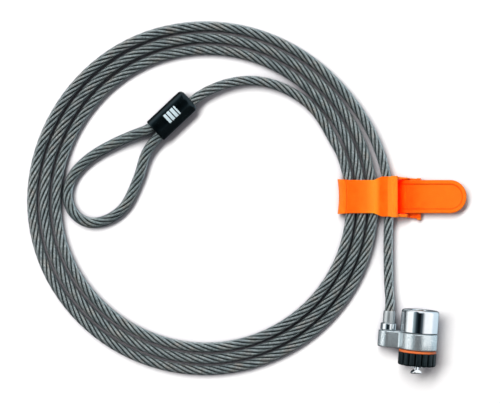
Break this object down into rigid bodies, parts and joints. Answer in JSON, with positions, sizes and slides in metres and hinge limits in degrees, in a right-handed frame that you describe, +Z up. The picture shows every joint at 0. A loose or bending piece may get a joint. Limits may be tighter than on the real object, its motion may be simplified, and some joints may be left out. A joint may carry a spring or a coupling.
{
  "type": "laptop cable lock",
  "caption": "Laptop security lock: a coated steel cable with a looped eye, a swivelling tubular-key T-bar head and a flexible strap round the coil.",
  "frame": {"origin": "bottom centre of the bounding box, on the table that the coil lies on", "axes": "+Z up from the table; +X across the coil towards the strap and the tip of its tongue; the lock head lies at low Y with its T-bar towards -Y"},
  "size_m": [0.2328, 0.188, 0.0199],
  "materials": {
    "rope_steel": "stranded galvanised steel wire, grey green under its coat",
    "clear_coat": "clear vinyl coat",
    "crimp_metal": "pressed aluminium",
    "black_vinyl": "glossy black moulded vinyl",
    "brushed_ferrule": "turned and brushed steel",
    "chrome": "bright chrome plate",
    "spring_steel": "spring steel",
    "orange_moulding": "soft satin orange elastomer",
    "cast_zinc": "satin plated die-cast zinc, slightly grainy",
    "brass": "machined brass",
    "orange_ring": "satin orange nylon",
    "black_moulding": "satin black rubbery plastic"
  },
  "bodies": {
    "cable": {"wire_rope": "rope_steel", "cable_sheath": "clear_coat", "eye_sheath": "clear_coat", "eye_crimp": "crimp_metal", "eye_sleeve": "black_vinyl", "cable_ferrule": "brushed_ferrule", "swivel_collar": "chrome", "swivel_retainer": "spring_steel", "strap_band": "orange_moulding"},
    "link": {"anchor_link": "cast_zinc"},
    "barrel": {"barrel_shell": "chrome", "lock_body": "cast_zinc", "link_retainer": "spring_steel", "keyway_collar": "brushed_ferrule", "guide_pin_1": "chrome", "guide_pin_2": "chrome", "driver_pin_1": "brushed_ferrule", "driver_pin_2": "brushed_ferrule", "driver_pin_3": "brushed_ferrule", "driver_pin_4": "brushed_ferrule", "driver_pin_5": "brushed_ferrule", "driver_pin_6": "brushed_ferrule", "driver_pin_7": "brushed_ferrule", "pin_spring_1": "spring_steel", "pin_spring_2": "spring_steel", "pin_spring_3": "spring_steel", "pin_spring_4": "spring_steel", "pin_spring_5": "spring_steel", "pin_spring_6": "spring_steel", "pin_spring_7": "spring_steel"},
    "spindle": {"key_plug": "brass", "t_bar": "chrome", "key_pin_1": "brass", "key_pin_2": "brass", "key_pin_3": "brass", "key_pin_4": "brass", "key_pin_5": "brass", "key_pin_6": "brass", "key_pin_7": "brass"},
    "slip_ring": {"slip_ring": "orange_ring"},
    "thumb_ring": {"thumb_ring": "black_moulding"},
    "tongue": {"strap_tongue": "orange_moulding"}
  },
  "joints": [
    {"name": "cable_swivel", "type": "hinge", "parent": "cable", "child": "link", "pos_m": [0.07482, -0.06968, 0.005], "axis": [-0.075, -0.9972, 0], "range_deg": [0, 120]},
    {"name": "head_swivel", "type": "hinge", "parent": "link", "child": "barrel", "pos_m": [0.09062, -0.07087, 0.00995], "axis": [0.075, 0.9972, 0], "continuous": true},
    {"name": "key_turn", "type": "hinge", "parent": "barrel", "child": "spindle", "pos_m": [0.09062, -0.07087, 0.00995], "axis": [0.075, 0.9972, 0], "range_deg": [0, 90]},
    {"name": "ring_travel", "type": "slide", "parent": "barrel", "child": "slip_ring", "axis": [-0.075, -0.9972, 0], "range_m": [0, 0.00151]},
    {"name": "ring_turn", "type": "hinge", "parent": "slip_ring", "child": "thumb_ring", "pos_m": [0.08934, -0.08782, 0.00995], "axis": [-0.075, -0.9972, 0], "range_deg": [0, 540]},
    {"name": "tongue_peel", "type": "hinge", "parent": "cable", "child": "tongue", "pos_m": [0.08572, 0.00083, 0.0045], "axis": [0, -1, 0], "range_deg": [0, 60]}
  ],
  "couplings": [
    {"joint": "ring_travel", "follows": "ring_turn", "m_per_rad": 0.00015915}
  ]
}
